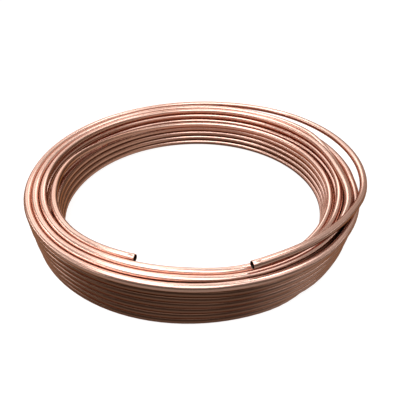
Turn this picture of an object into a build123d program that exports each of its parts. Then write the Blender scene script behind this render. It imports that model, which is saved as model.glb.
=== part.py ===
"""Coil of soft copper tube, lying flat, with its two open ends loose on top.

Millimetres, +Z up, the floor at Z 0 and the coil's axis on Z.
The packed turns are one turned solid, each turn drawn with six sides. The outer
and the inner end leave the pack as loose tube, round and hollow at the mouth.
"""
import os
from math import cos, radians, sin

from build123d import *

# The tube.
tube_od = 10.0
tube_wall = 1.0
mouth_depth = 25.0

# The packed winding: layers side by side, turns on top of each other, fewer in the innermost layer.
coil_od = 510.0
layer_pitch = 10.5
turn_pitch = 10.3
full_layers = 3
full_turns = 7
inner_turns = 4
crest_share = 0.45

# The outer end: it leaves the top turn, stands off at the side and comes in over the top.
# The angles about the axis, in degrees: buried start, stand-off from and to, crossing, mouth.
outer_end_angles = (110.0, 35.0, 15.0, -30.0, -68.0)
stand_off = 22.0
stand_off_lift = 6.0
crossing_lift = 11.5
outer_end_lift = 15.0
outer_end_inset = 6.0

# The inner end: it leaves the innermost layer, stands proud of it and climbs to the top.
# The angles: buried start, proud from, climb from and to, mouth.
inner_end_angles = (40.0, 90.0, 125.0, 205.0, 247.5)
inner_proud = 9.0
inner_end_proud = 6.0
inner_end_drop = 6.0

# The bends of the loose tube: a corner every few degrees, rounded nearly all the way.
loose_sides = 8
bend_step = 22.5
bend_share = 0.9

tube_radius = tube_od / 2
bore_radius = tube_radius - tube_wall
outer_radius = coil_od / 2 - layer_pitch / 2
inner_radius = outer_radius - layer_pitch * full_layers
top_height = turn_pitch * full_turns
inner_height = turn_pitch * inner_turns


def six_sided_turn():
    """Section of one turn: a flat crest above and below, an edge on either side."""
    side = layer_pitch / 2
    top = turn_pitch / 2
    crest = tube_radius * crest_share
    return Polygon((side, 0), (crest, top), (-crest, top), (-side, 0), (-crest, -top), (crest, -top))

def strip(left, right, low, high):
    """Rectangle between two radii and two heights."""
    return Pos((left + right) / 2, (low + high) / 2) * Rectangle(right - left, high - low)


def packed_turns():
    """Turned solid of the packed turns, with a groove between neighbours on all sides."""
    first_turn = Pos(inner_radius, turn_pitch / 2) * six_sided_turn()
    profile = Sketch()
    for layer in range(full_layers + 1):
        turns = full_turns if layer else inner_turns
        profile += [Pos(layer_pitch * layer, turn_pitch * level) * first_turn for level in range(turns)]
    floor = turn_pitch / 2
    profile += strip(inner_radius, outer_radius, floor, inner_height - floor)
    profile += strip(inner_radius + layer_pitch, outer_radius, floor, top_height - floor)
    return revolve(Plane.XZ * profile, Axis.Z)


def between(stations, angle):
    """Radius and height at an angle, eased between (angle, radius, height) stations."""
    for (a, radius_a, height_a), (b, radius_b, height_b) in zip(stations, stations[1:]):
        if min(a, b) <= angle <= max(a, b):
            share = (angle - a) / (b - a)
            ease = share * share * (3 - 2 * share)
            return radius_a + (radius_b - radius_a) * ease, height_a + (height_b - height_a) * ease
    return stations[-1][1:]


def loose_tube(stations):
    """Tube bent along the stations, with a straight round mouth at its far end, and the mouth's bore."""
    first, last = stations[0][0], stations[-1][0]
    count = round(abs(last - first) / bend_step)
    step = (last - first) / count
    corners = []
    for index in range(count):
        angle = first + step * (index + 1 / 2)
        radius, height = between(stations, angle)
        reach = radius / cos(radians(step / 2))
        corners.append(Vector(reach * cos(radians(angle)), reach * sin(radians(angle)), height))
    start = corners[0] - (corners[1] - corners[0]).rotate(Axis.Z, -step) / 2
    last_run = (corners[-1] - corners[-2]).rotate(Axis.Z, step)
    neck = corners[-1] + last_run / 2
    path = FilletPolyline(start, *corners, neck, radius=bend_share * inner_radius)
    section = RegularPolygon(tube_radius, loose_sides, major_radius=False)
    tube = sweep(Plane(origin=path @ 0, z_dir=path % 0) * section, path)
    mouth = Plane(origin=neck, z_dir=last_run)
    tube += extrude(mouth * Circle(tube_radius), mouth_depth)
    bore = extrude(mouth * Circle(bore_radius), mouth_depth)
    return tube, bore


def outer_end():
    """The last of the outer layer, from the top turn to the open end."""
    level = top_height - turn_pitch / 2
    buried, stand_from, stand_to, crossing, mouth = outer_end_angles
    return loose_tube([
        (buried, outer_radius - tube_radius / 2, level - tube_radius / 2),
        (stand_from, outer_radius + stand_off, level + stand_off_lift),
        (stand_to, outer_radius + stand_off, level + stand_off_lift),
        (crossing, outer_radius, level + crossing_lift),
        (mouth, outer_radius - outer_end_inset, level + outer_end_lift),
    ])


def inner_end():
    """The start of the innermost layer, from the packed turns to the open end."""
    level = inner_height + tube_radius
    top = top_height - inner_end_drop
    buried, proud_from, climb_from, climb_to, mouth = inner_end_angles
    return loose_tube([
        (buried, inner_radius + layer_pitch / 2, inner_height - tube_radius),
        (proud_from, inner_radius - inner_proud, level),
        (climb_from, inner_radius - inner_proud, level),
        (climb_to, inner_radius - inner_proud, top),
        (mouth, inner_radius - inner_end_proud, top),
    ])


if __name__ == "__main__":
    os.makedirs("parts", exist_ok=True)
    coil = packed_turns()
    for tube, bore in (outer_end(), inner_end()):
        coil = coil + tube - bore
    export_step(coil, "parts/tube_coil.step")
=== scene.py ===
"""Coil of bright copper tube: one tube wound from its inner to its outer end, in a plain studio."""
from math import cos, pi, sin

import bpy
import numpy as np
from mathutils import Matrix, Vector


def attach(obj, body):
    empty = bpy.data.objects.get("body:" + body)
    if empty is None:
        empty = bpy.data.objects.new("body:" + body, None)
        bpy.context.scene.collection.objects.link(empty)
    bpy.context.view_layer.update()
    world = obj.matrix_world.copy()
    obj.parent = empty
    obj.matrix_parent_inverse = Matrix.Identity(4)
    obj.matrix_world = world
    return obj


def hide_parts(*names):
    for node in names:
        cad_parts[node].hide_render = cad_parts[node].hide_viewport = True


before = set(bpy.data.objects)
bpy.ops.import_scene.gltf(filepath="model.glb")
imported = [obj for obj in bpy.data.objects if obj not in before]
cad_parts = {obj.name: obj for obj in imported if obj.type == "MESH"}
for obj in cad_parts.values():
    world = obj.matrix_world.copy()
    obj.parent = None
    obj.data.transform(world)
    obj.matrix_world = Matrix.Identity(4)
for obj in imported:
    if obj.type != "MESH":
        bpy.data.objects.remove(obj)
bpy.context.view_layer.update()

MM = 0.001
SEED = 11

# The tube and its winding, in millimetres and degrees. Angles are about the axis, from +X towards +Y.
# The tube runs clockwise from its inner end, so its angle falls.
TUBE_RADIUS = 5.0
BORE_RADIUS = 4.25
BORE_DEPTH = 60.0
BORE_STEPS = 4
RIM_ROUND = 0.35
LAYER_PITCH = 10.5
TURN_PITCH = 10.3
FIRST_RADIUS = 218.25
FIRST_LEVEL = 5
FULL_LEVELS = 7
INNER_END_ANGLE = 253.4
OUTER_END_ANGLE = -74.1
LAP = 360.0
STEP_WIDTH = 30.0
FIRST_STEP_ANGLE = -105.0
# From the inmost layer outwards: changes of level, up or down, and the angle from one change to the next.
LAYERS = [(4, -1, 360.0), (6, 1, 360.0), (6, -1, 308.0), (6, 1, 360.0)]
# How far the pack stands out from round: angle, at its foot, at its top.
OUT_OF_ROUND = [
    (-180, 1.0, -4.2), (-135, 0.2, -1.2), (-108, 0.0, -1.2), (-90, 0.3, 1.6), (-79, 0.8, 5.6),
    (-70, 1.6, 6.8), (-62, 2.9, 6.9), (-54, 3.6, 6.7), (-44, 1.4, 5.6), (-30, 0.3, 2.8), (0, 1.6, 0.6),
    (30, 1.2, 1.0), (60, 0.5, 0.6), (90, 0.0, 0.0), (135, 0.4, -3.0), (180, 1.0, -4.2),
]
# Share by which each layer outwards stands higher at the back.
BACK_RISE = 0.036
# The small unevenness of the winding, and the angle over which it changes.
WANDER_RADIUS = 0.2
WANDER_HEIGHT = 0.15
WANDER_EVERY = 40.0
SEGMENT = 3.0
SIDES = 28

# Where the loose ends run: angle about the axis, radius, height.
INNER_END = [
    (253.4, 216.2, 66.1), (247, 216.6, 66.3), (236, 217.4, 66.4), (226, 217.5, 66.4), (217, 216.2, 66.3),
    (206, 213.3, 66.0), (195, 210.2, 65.3), (183, 209.0, 63.5), (172, 209.6, 60.6), (161, 209.8, 57.0),
    (148, 209.0, 53.2), (135, 209.0, 50.5), (120, 209.4, 48.6), (97, 211.0, 47.2), (60, 213.5, 46.6),
    (30, 216.2, 46.5), (0, 218.4, 46.4), (-20, 219.9, 46.35), (-32, 220.9, 46.35), (-40, 222.1, 46.35),
    (-50, 223.3, 46.35), (-65, 223.6, 46.35), (-80, 222.4, 46.35),
]
OUTER_END = [
    (-2, 250.0, 57.0), (-10, 250.5, 58.0), (-20, 251.2, 61.0), (-30, 252.7, 65.3), (-40, 255.8, 68.0),
    (-52, 259.2, 68.8), (-66, 258.6, 69.0), (-78, 256.4, 68.4), (-90, 253.6, 67.8), (-106, 250.2, 67.5),
    (-130, 248.4, 67.9), (-155, 246.7, 68.8), (-180, 245.4, 69.7), (-210, 248.1, 71.2), (-240, 251.0, 72.8),
    (-270, 254.0, 74.0), (-290, 258.4, 74.2), (-302, 263.6, 73.6), (-314, 268.4, 72.6), (-326, 270.0, 71.9),
    (-338, 269.4, 71.6), (-350, 267.2, 71.4), (-360, 264.6, 71.3), (-368, 262.0, 71.3), (-376, 259.0, 71.6),
    (-384, 255.0, 73.4), (-392, 250.3, 76.0), (-400, 247.2, 78.0), (-410, 245.0, 80.0), (-420, 243.8, 81.3),
    (-428, 243.9, 81.8), (-434.1, 245.5, 82.2),
]

# The bare copper: its cloudy tone from dark to light, its tint at grazing angles and its drawn lines.
TONES = [(0.32, (0.90, 0.575, 0.475)), (0.68, (0.97, 0.665, 0.57))]
GRAZING_TINT = (0.45, 0.30, 0.24)
CLOUD_NOISE = {"Scale": 14.0, "Detail": 3.0, "Roughness": 0.55}
LINE_NOISE = {"Scale": 1.0, "Detail": 2.0, "Roughness": 0.5}
LINE_STRETCH = (4.0, 40.0, 1.0)
LINE_ROUGHNESS = {"From Min": 0.3, "From Max": 0.7, "To Min": 0.18, "To Max": 0.29}
LINE_RELIEF = {"Strength": 0.03, "Distance": 0.0004}
# Painted shade in brown in the base colour: on the flanks, more low in the coil, on its outer side, on the
# front of its outer wall, on the left of its inner wall and in the bores.
FLANK_PAINTED_SHADE = (0.40, 0.160, 0.104)
LOW_PAINTED_SHADE = (0.105, 0.047, 0.028)
OUTER_SIDE_PAINTED_SHADE = (0.225, 0.134, 0.102)
WALL_PAINTED_SHADE = (0.085, 0.043, 0.028)
INNER_WALL_PAINTED_SHADE = (0.30, 0.160, 0.110)
BORE_PAINTED_SHADE = (0.012, 0.008, 0.006)
# The sides of the outer and inner walls where their painted shade is darkest.
OUTER_WALL_SHADE_SIDE = (-0.174, -0.985, 0.0)
INNER_WALL_SHADE_SIDE = (-0.940, 0.342, 0.0)
# Where each painted shade begins and where it is full. Heights, reaches from the axis and reaches towards a
# side are in metres. Upward and outward are shares of the way that the surface faces.
FLANK_UPWARD = (0.6, -0.1)
LOW_HEIGHT = (0.062, 0.012)
OUTER_REACH = (0.2425, 0.2475)
OUTER_OUTWARD = (0.3, 0.9)
WALL_REACH = (0.2455, 0.2495)
WALL_HEIGHT = (0.0640, 0.0615)
WALL_TOWARDS = (0.190, 0.245)
INNER_REACH = (0.2235, 0.2205)
INNER_OUTWARD = (-0.05, -0.6)
INNER_TOWARDS = (0.080, 0.190)

# The studio, in metres: a wide floor, soft boxes that all look at the coil, and an even warm room.
FLOOR_HALF = 8.0
FLOOR_GREY = (0.35, 0.35, 0.35)
FLOOR_ROUGHNESS = 0.9
FLOOR_WHITE = (1, 1, 1)
FLOOR_WHITE_STRENGTH = 0.84
LAMP_AIM = (0, 0, 0.05)
# Name, place, width, height and brightness.
LAMPS = [
    ("key", (-0.5, -0.8, 2.0), 2.5, 1.2, 2.7),
    ("key_right", (1.25, -0.75, 1.9), 1.0, 1.2, 1.1),
    ("over_left", (-0.65, 0.8, 2.0), 0.8, 0.8, 3.4),
    ("over_right", (0.75, 0.65, 2.0), 0.7, 0.7, 3.6),
    ("high_left", (-1.8, 1.8, 2.1), 1.2, 0.8, 1.15),
    ("back", (-0.85, 2.8, 1.35), 3.6, 1.3, 0.80),
    ("back_middle", (0.0, 2.75, 1.5), 1.4, 0.9, 1.0),
    ("high_back", (0.1, 1.5, 1.8), 1.6, 0.5, 0.7),
    ("left", (-2.0, -0.3, 0.75), 2.4, 0.25, 3.8),
    ("right", (2.2, -0.4, 0.80), 1.8, 0.2, 2.0),
]
ROOM_COLOUR = (1.0, 0.90, 0.82)
ROOM_STRENGTH = 0.42

# The photograph's viewpoint: place in millimetres, angles in radians, lens and its axis in pixels.
CAMERA_PLACE = (15.7, -463.6, 325.1)
CAMERA_PITCH = 0.76425
CAMERA_ROLL = -0.0149
FOCAL_PX = 317.92
IMAGE_PX = 400
AXIS_PX = (202.63, 248.84)
SENSOR_WIDTH = 36.0
CLIP_START = 0.01


def ease(share):
    """Smooth rise from 0 to 1."""
    share = np.clip(share, 0.0, 1.0)
    return share * share * (3.0 - 2.0 * share)


def through(x, stations_x, stations_y):
    """Smooth curve through stations, with x rising."""
    xs = np.asarray(stations_x, float)
    ys = np.asarray(stations_y, float)
    slopes = np.gradient(ys, xs)
    i = np.clip(np.searchsorted(xs, x) - 1, 0, len(xs) - 2)
    width = xs[i + 1] - xs[i]
    t = np.clip((x - xs[i]) / width, 0.0, 1.0)
    a = (1 + 2 * t) * (1 - t) ** 2 * ys[i] + t * (1 - t) ** 2 * width * slopes[i]
    b = t * t * (3 - 2 * t) * ys[i + 1] - t * t * (1 - t) * width * slopes[i + 1]
    return a + b


def winding_steps():
    """Where the tube changes place: degrees travelled, layers outward, levels up."""
    steps = []
    travel = INNER_END_ANGLE - FIRST_STEP_ANGLE
    for changes, up, spacing in LAYERS:
        for change in range(changes):
            steps.append((travel, 0, up))
            travel += spacing if change < changes - 1 else LAP - STEP_WIDTH
        steps.append((travel, 1, 0))
        travel += LAP - STEP_WIDTH
    return steps[:-1]


def route():
    """Centre line of the tube in millimetres, from the inner to the outer end, and its angles in radians."""
    steps = winding_steps()
    last_climb = steps[-1][0]
    turns_before = round((INNER_END_ANGLE - last_climb) / LAP)
    end = INNER_END_ANGLE - (OUTER_END_ANGLE - LAP + turns_before * LAP)
    count = round(end / SEGMENT)
    travel = np.linspace(0.0, end, count + 1)
    layer = np.zeros_like(travel)
    level = np.full_like(travel, FIRST_LEVEL)
    for centre, outward, up in steps:
        share = ease((travel - centre) / STEP_WIDTH + 0.5)
        layer += outward * share
        level += up * share
    radius = FIRST_RADIUS + LAYER_PITCH * layer
    angle = np.radians(INNER_END_ANGLE - travel)
    at_back = 0.5 + 0.5 * np.sin(angle)
    height = TUBE_RADIUS + (TURN_PITCH * (level - 0.5) - TUBE_RADIUS) * (1.0 + BACK_RISE * layer * at_back)

    turned = (np.degrees(angle) + LAP / 2) % LAP - LAP / 2
    places, foot, top = np.array(OUT_OF_ROUND, float).T
    high = (height - TUBE_RADIUS) / (TURN_PITCH * (FULL_LEVELS - 1))
    radius += (1.0 - high) * through(turned, places, foot) + high * through(turned, places, top)

    rng = np.random.RandomState(SEED)
    knots = np.arange(0.0, end + 2 * WANDER_EVERY, WANDER_EVERY)
    radius += through(travel, knots, rng.normal(0.0, WANDER_RADIUS, len(knots)))
    height += through(travel, knots, rng.normal(0.0, WANDER_HEIGHT, len(knots)))

    inner = np.array(INNER_END, float)
    outer = np.array(OUTER_END, float)
    inner_travel = INNER_END_ANGLE - inner[:, 0]
    outer_travel = INNER_END_ANGLE - (outer[:, 0] + turns_before * LAP)
    in_inner = 1.0 - ease((travel - inner_travel[-2]) / (inner_travel[-1] - inner_travel[-2]))
    in_outer = ease((travel - outer_travel[0]) / (outer_travel[1] - outer_travel[0]))
    for share, stations, at in ((in_inner, inner, inner_travel), (in_outer, outer, outer_travel)):
        radius += share * (through(travel, at, stations[:, 1]) - radius)
        height += share * (through(travel, at, stations[:, 2]) - height)

    height = np.maximum(height, TUBE_RADIUS)
    return np.stack([radius * np.cos(angle), radius * np.sin(angle), height], axis=1), angle


def tube_rings():
    """Rings of points from bore to bore, their places along the tube, and which of them are in a bore."""
    centre, angle = route()
    tangent = np.gradient(centre, axis=0)
    tangent /= np.linalg.norm(tangent, axis=1)[:, None]
    outward = np.stack([np.cos(angle), np.sin(angle), np.zeros_like(angle)], axis=1)
    outward -= (outward * tangent).sum(1)[:, None] * tangent
    outward /= np.linalg.norm(outward, axis=1)[:, None]
    upward = np.cross(outward, tangent)
    upward *= np.sign(upward[:, 2])[:, None]
    around = np.linspace(-pi / 2, 3 * pi / 2, SIDES, endpoint=False)
    length = np.concatenate([[0.0], np.cumsum(np.linalg.norm(np.diff(centre, axis=0), axis=1))])

    rings = []
    places = []

    def ring(i, radius, along=0.0):
        c = centre[i] + tangent[i] * along
        spoke = np.cos(around)[:, None] * outward[i] + np.sin(around)[:, None] * upward[i]
        rings.append(c + radius * spoke)
        places.append(length[i] + along)

    last = len(centre) - 1
    for step in range(BORE_STEPS, 0, -1):
        index = int(np.searchsorted(length, BORE_DEPTH * step / BORE_STEPS))
        ring(index, BORE_RADIUS)
    ring(0, BORE_RADIUS, RIM_ROUND)
    ring(0, BORE_RADIUS + RIM_ROUND)
    ring(0, TUBE_RADIUS - RIM_ROUND)
    ring(0, TUBE_RADIUS, RIM_ROUND)
    for i in range(1, last):
        ring(i, TUBE_RADIUS)
    ring(last, TUBE_RADIUS, -RIM_ROUND)
    ring(last, TUBE_RADIUS - RIM_ROUND)
    ring(last, BORE_RADIUS + RIM_ROUND)
    ring(last, BORE_RADIUS, -RIM_ROUND)
    for step in range(1, BORE_STEPS + 1):
        index = int(np.searchsorted(length, length[-1] - BORE_DEPTH * step / BORE_STEPS))
        ring(index, BORE_RADIUS)

    in_bore = np.zeros(len(rings))
    in_bore[:BORE_STEPS + 1] = 1.0
    in_bore[-BORE_STEPS - 1:] = 1.0
    return rings, places, in_bore


def wound_tube():
    """One closed mesh: the tube's outside, its two cut rims and the bore behind each of them."""
    rings, places, in_bore = tube_rings()
    verts = np.concatenate(rings) * MM
    quads = []
    for r in range(len(rings) - 1):
        a = r * SIDES + np.arange(SIDES)
        b = r * SIDES + (np.arange(SIDES) + 1) % SIDES
        quads.append(np.stack([a, b, b + SIDES, a + SIDES], axis=1))
    quads = np.concatenate(quads)
    final = (len(rings) - 1) * SIDES
    faces = quads.tolist() + [list(range(SIDES))[::-1], list(range(final, final + SIDES))]
    mesh = bpy.data.meshes.new("wound_tube")
    mesh.from_pydata(verts.tolist(), [], faces)

    # Metres along the tube and share of the way round it, for the drawn lines of the finish.
    along = np.repeat(np.array(places) * MM, SIDES)
    share = np.tile(np.arange(SIDES) / SIDES, len(rings))
    loops = np.empty(len(mesh.loops), np.int32)
    mesh.loops.foreach_get("vertex_index", loops)
    uv = np.stack([along[loops], share[loops]], axis=1)
    corners = quads.size
    face_share = uv[:corners, 1].reshape(-1, 4)
    wraps = face_share.max(1) - face_share.min(1) > 0.5
    face_share[wraps] = np.where(face_share[wraps] < 0.5, face_share[wraps] + 1.0, face_share[wraps])
    uv[:corners, 1] = face_share.reshape(-1)
    layer = mesh.uv_layers.new(name="along_tube")
    layer.data.foreach_set("uv", uv.astype(np.float32).ravel())
    bore = mesh.attributes.new("bore", "FLOAT", "POINT")
    bore.data.foreach_set("value", np.repeat(in_bore, SIDES).astype(np.float32))
    mesh.shade_smooth()
    mesh.validate()
    tube = bpy.data.objects.new("wound_tube", mesh)
    bpy.context.scene.collection.objects.link(tube)
    return tube


def copper_material():
    """Bright drawn copper with painted shade in brown on the flanks, more on the coil's walls, and painted
    dark shade in the bores.
    """
    mat = bpy.data.materials.new("copper")
    mat.use_nodes = True
    nodes, link = mat.node_tree.nodes, mat.node_tree.links.new
    shader = nodes["Principled BSDF"]
    shader.inputs["Metallic"].default_value = 1.0
    shader.inputs["Specular Tint"].default_value = (*GRAZING_TINT, 1)

    def add(kind, inputs):
        node = nodes.new(kind)
        for name, value in inputs.items():
            node.inputs[name].default_value = value
        return node

    def vectors(operation, first, second=None, fixed=None):
        node = nodes.new("ShaderNodeVectorMath")
        node.operation = operation
        link(first, node.inputs[0])
        if second is not None:
            link(second, node.inputs[1])
        if fixed is not None:
            node.inputs[1].default_value = fixed
        return node.outputs

    def split(vector):
        node = nodes.new("ShaderNodeSeparateXYZ")
        link(vector, node.inputs["Vector"])
        return node.outputs

    def ramp(value, limits):
        node = nodes.new("ShaderNodeMapRange")
        node.interpolation_type = "SMOOTHSTEP"
        node.inputs["From Min"].default_value = limits[0]
        node.inputs["From Max"].default_value = limits[1]
        link(value, node.inputs["Value"])
        return node.outputs["Result"]

    def times(a, b):
        node = nodes.new("ShaderNodeMath")
        node.operation = "MULTIPLY"
        link(a, node.inputs[0])
        link(b, node.inputs[1])
        return node.outputs["Value"]

    def cover(share, below, colour):
        node = nodes.new("ShaderNodeMix")
        node.data_type = "RGBA"
        node.inputs["B"].default_value = (*colour, 1)
        link(share, node.inputs["Factor"])
        link(below, node.inputs["A"])
        return node.outputs["Result"]

    coords = nodes.new("ShaderNodeTexCoord").outputs
    stretch = add("ShaderNodeMapping", {"Scale": LINE_STRETCH})
    link(coords["UV"], stretch.inputs["Vector"])
    lines = add("ShaderNodeTexNoise", LINE_NOISE)
    link(stretch.outputs["Vector"], lines.inputs["Vector"])
    clouds = add("ShaderNodeTexNoise", CLOUD_NOISE)
    link(coords["Object"], clouds.inputs["Vector"])

    tone = nodes.new("ShaderNodeValToRGB")
    for element, (position, colour) in zip(tone.color_ramp.elements, TONES):
        element.position = position
        element.color = (*colour, 1)
    link(clouds.outputs["Fac"], tone.inputs["Fac"])

    upward = split(coords["Normal"])["Z"]
    height = split(coords["Object"])["Z"]
    flat = vectors("MULTIPLY", coords["Object"], fixed=(1, 1, 0))["Vector"]
    reach = vectors("LENGTH", flat)["Value"]
    radial = vectors("NORMALIZE", flat)["Vector"]
    outward = vectors("DOT_PRODUCT", coords["Normal"], radial)["Value"]
    to_outer_wall_shade = vectors("DOT_PRODUCT", coords["Object"], fixed=OUTER_WALL_SHADE_SIDE)["Value"]
    to_inner_wall_shade = vectors("DOT_PRODUCT", coords["Object"], fixed=INNER_WALL_SHADE_SIDE)["Value"]

    # Painted shade: surfaces that face sideways or down get a darker, redder base colour than the tops.
    flank = ramp(upward, FLANK_UPWARD)
    colour = cover(flank, tone.outputs["Color"], FLANK_PAINTED_SHADE)
    # Painted shade: those flanks turn darker still towards the bottom of the coil.
    colour = cover(times(flank, ramp(height, LOW_HEIGHT)), colour, LOW_PAINTED_SHADE)
    # Painted shade: surfaces that face outward on the coil's outer side get a darker brown base colour.
    outer_side = times(ramp(reach, OUTER_REACH), ramp(outward, OUTER_OUTWARD))
    colour = cover(outer_side, colour, OUTER_SIDE_PAINTED_SHADE)
    # Painted shade: the outer wall below the top turn is painted dark brown, darkest towards the front.
    outer_wall = times(ramp(reach, WALL_REACH), ramp(height, WALL_HEIGHT))
    outer_wall = times(outer_wall, ramp(to_outer_wall_shade, WALL_TOWARDS))
    colour = cover(outer_wall, colour, WALL_PAINTED_SHADE)
    # Painted shade: inward-facing surfaces of the inner wall are darker towards its left side.
    inner_wall = times(ramp(reach, INNER_REACH), ramp(outward, INNER_OUTWARD))
    inner_wall = times(inner_wall, ramp(to_inner_wall_shade, INNER_TOWARDS))
    colour = cover(inner_wall, colour, INNER_WALL_PAINTED_SHADE)
    # Painted shade: the inside of each bore is painted near black.
    bore = nodes.new("ShaderNodeAttribute")
    bore.attribute_name = "bore"
    colour = cover(bore.outputs["Fac"], colour, BORE_PAINTED_SHADE)
    link(colour, shader.inputs["Base Color"])

    rough = add("ShaderNodeMapRange", LINE_ROUGHNESS)
    link(lines.outputs["Fac"], rough.inputs["Value"])
    link(rough.outputs["Result"], shader.inputs["Roughness"])
    relief = add("ShaderNodeBump", LINE_RELIEF)
    link(lines.outputs["Fac"], relief.inputs["Height"])
    link(relief.outputs["Normal"], shader.inputs["Normal"])
    return mat


def studio_floor():
    """Pale floor that shows white, with the coil's soft shadow."""
    half = FLOOR_HALF
    mesh = bpy.data.meshes.new("floor")
    corners = [(-half, -half, 0), (half, -half, 0), (half, half, 0), (-half, half, 0)]
    mesh.from_pydata(corners, [], [(0, 1, 2, 3)])
    floor = bpy.data.objects.new("floor", mesh)
    bpy.context.scene.collection.objects.link(floor)
    mat = bpy.data.materials.new("floor")
    mat.use_nodes = True
    nodes, link = mat.node_tree.nodes, mat.node_tree.links.new
    shader = nodes["Principled BSDF"]
    shader.inputs["Base Color"].default_value = (*FLOOR_GREY, 1)
    shader.inputs["Roughness"].default_value = FLOOR_ROUGHNESS
    shader.inputs["Specular IOR Level"].default_value = 0.0
    shader.inputs["Emission Color"].default_value = (*FLOOR_WHITE, 1)

    def joined(operation, first):
        node = nodes.new("ShaderNodeMath")
        node.operation = operation
        link(first, node.inputs[0])
        return node

    rays = nodes.new("ShaderNodeLightPath").outputs
    seen = joined("MAXIMUM", rays["Is Camera Ray"])
    link(rays["Is Glossy Ray"], seen.inputs[1])
    all_seen = joined("MAXIMUM", seen.outputs["Value"])
    link(rays["Is Transmission Ray"], all_seen.inputs[1])
    white = joined("MULTIPLY", all_seen.outputs["Value"])
    white.inputs[1].default_value = FLOOR_WHITE_STRENGTH
    link(white.outputs["Value"], shader.inputs["Emission Strength"])
    mesh.materials.append(mat)


def softbox(name, place, width, height, brightness):
    """Area lamp of an even brightness that looks at the coil."""
    lamp = bpy.data.lights.new(name, "AREA")
    lamp.shape = "RECTANGLE"
    lamp.size = width
    lamp.size_y = height
    lamp.energy = brightness * pi * width * height
    obj = bpy.data.objects.new(name, lamp)
    obj.location = place
    obj.rotation_euler = (Vector(LAMP_AIM) - Vector(place)).to_track_quat("-Z", "Y").to_euler()
    bpy.context.scene.collection.objects.link(obj)


def studio_light():
    """Soft boxes above, behind and at the sides of the coil, and an even warm room."""
    for lamp in LAMPS:
        softbox(*lamp)
    world = bpy.data.worlds.new("room")
    world.use_nodes = True
    room = world.node_tree.nodes["Background"]
    room.inputs["Color"].default_value = (*ROOM_COLOUR, 1)
    room.inputs["Strength"].default_value = ROOM_STRENGTH
    bpy.context.scene.world = world


def photo_camera():
    """Camera at the photograph's viewpoint."""
    cam = bpy.data.cameras.new("camera")
    cam.sensor_width = SENSOR_WIDTH
    cam.lens = FOCAL_PX * SENSOR_WIDTH / IMAGE_PX
    cam.shift_x = (IMAGE_PX / 2 - AXIS_PX[0]) / IMAGE_PX
    cam.shift_y = (AXIS_PX[1] - IMAGE_PX / 2) / IMAGE_PX
    cam.clip_start = CLIP_START
    forward = Vector((0, cos(CAMERA_PITCH), -sin(CAMERA_PITCH)))
    level_up = Vector((0, sin(CAMERA_PITCH), cos(CAMERA_PITCH)))
    level_right = Vector((1, 0, 0))
    right = cos(CAMERA_ROLL) * level_right + sin(CAMERA_ROLL) * level_up
    up = cos(CAMERA_ROLL) * level_up - sin(CAMERA_ROLL) * level_right
    obj = bpy.data.objects.new("camera", cam)
    turn = Matrix((right, up, -forward)).transposed()
    obj.matrix_world = Matrix.Translation(Vector(CAMERA_PLACE) * MM) @ turn.to_4x4()
    bpy.context.scene.collection.objects.link(obj)
    bpy.context.scene.camera = obj


tube = wound_tube()
tube.data.materials.append(copper_material())
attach(tube, "root")
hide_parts("tube_coil")

studio_floor()
studio_light()
photo_camera()
bpy.context.scene.view_settings.view_transform = "Standard"
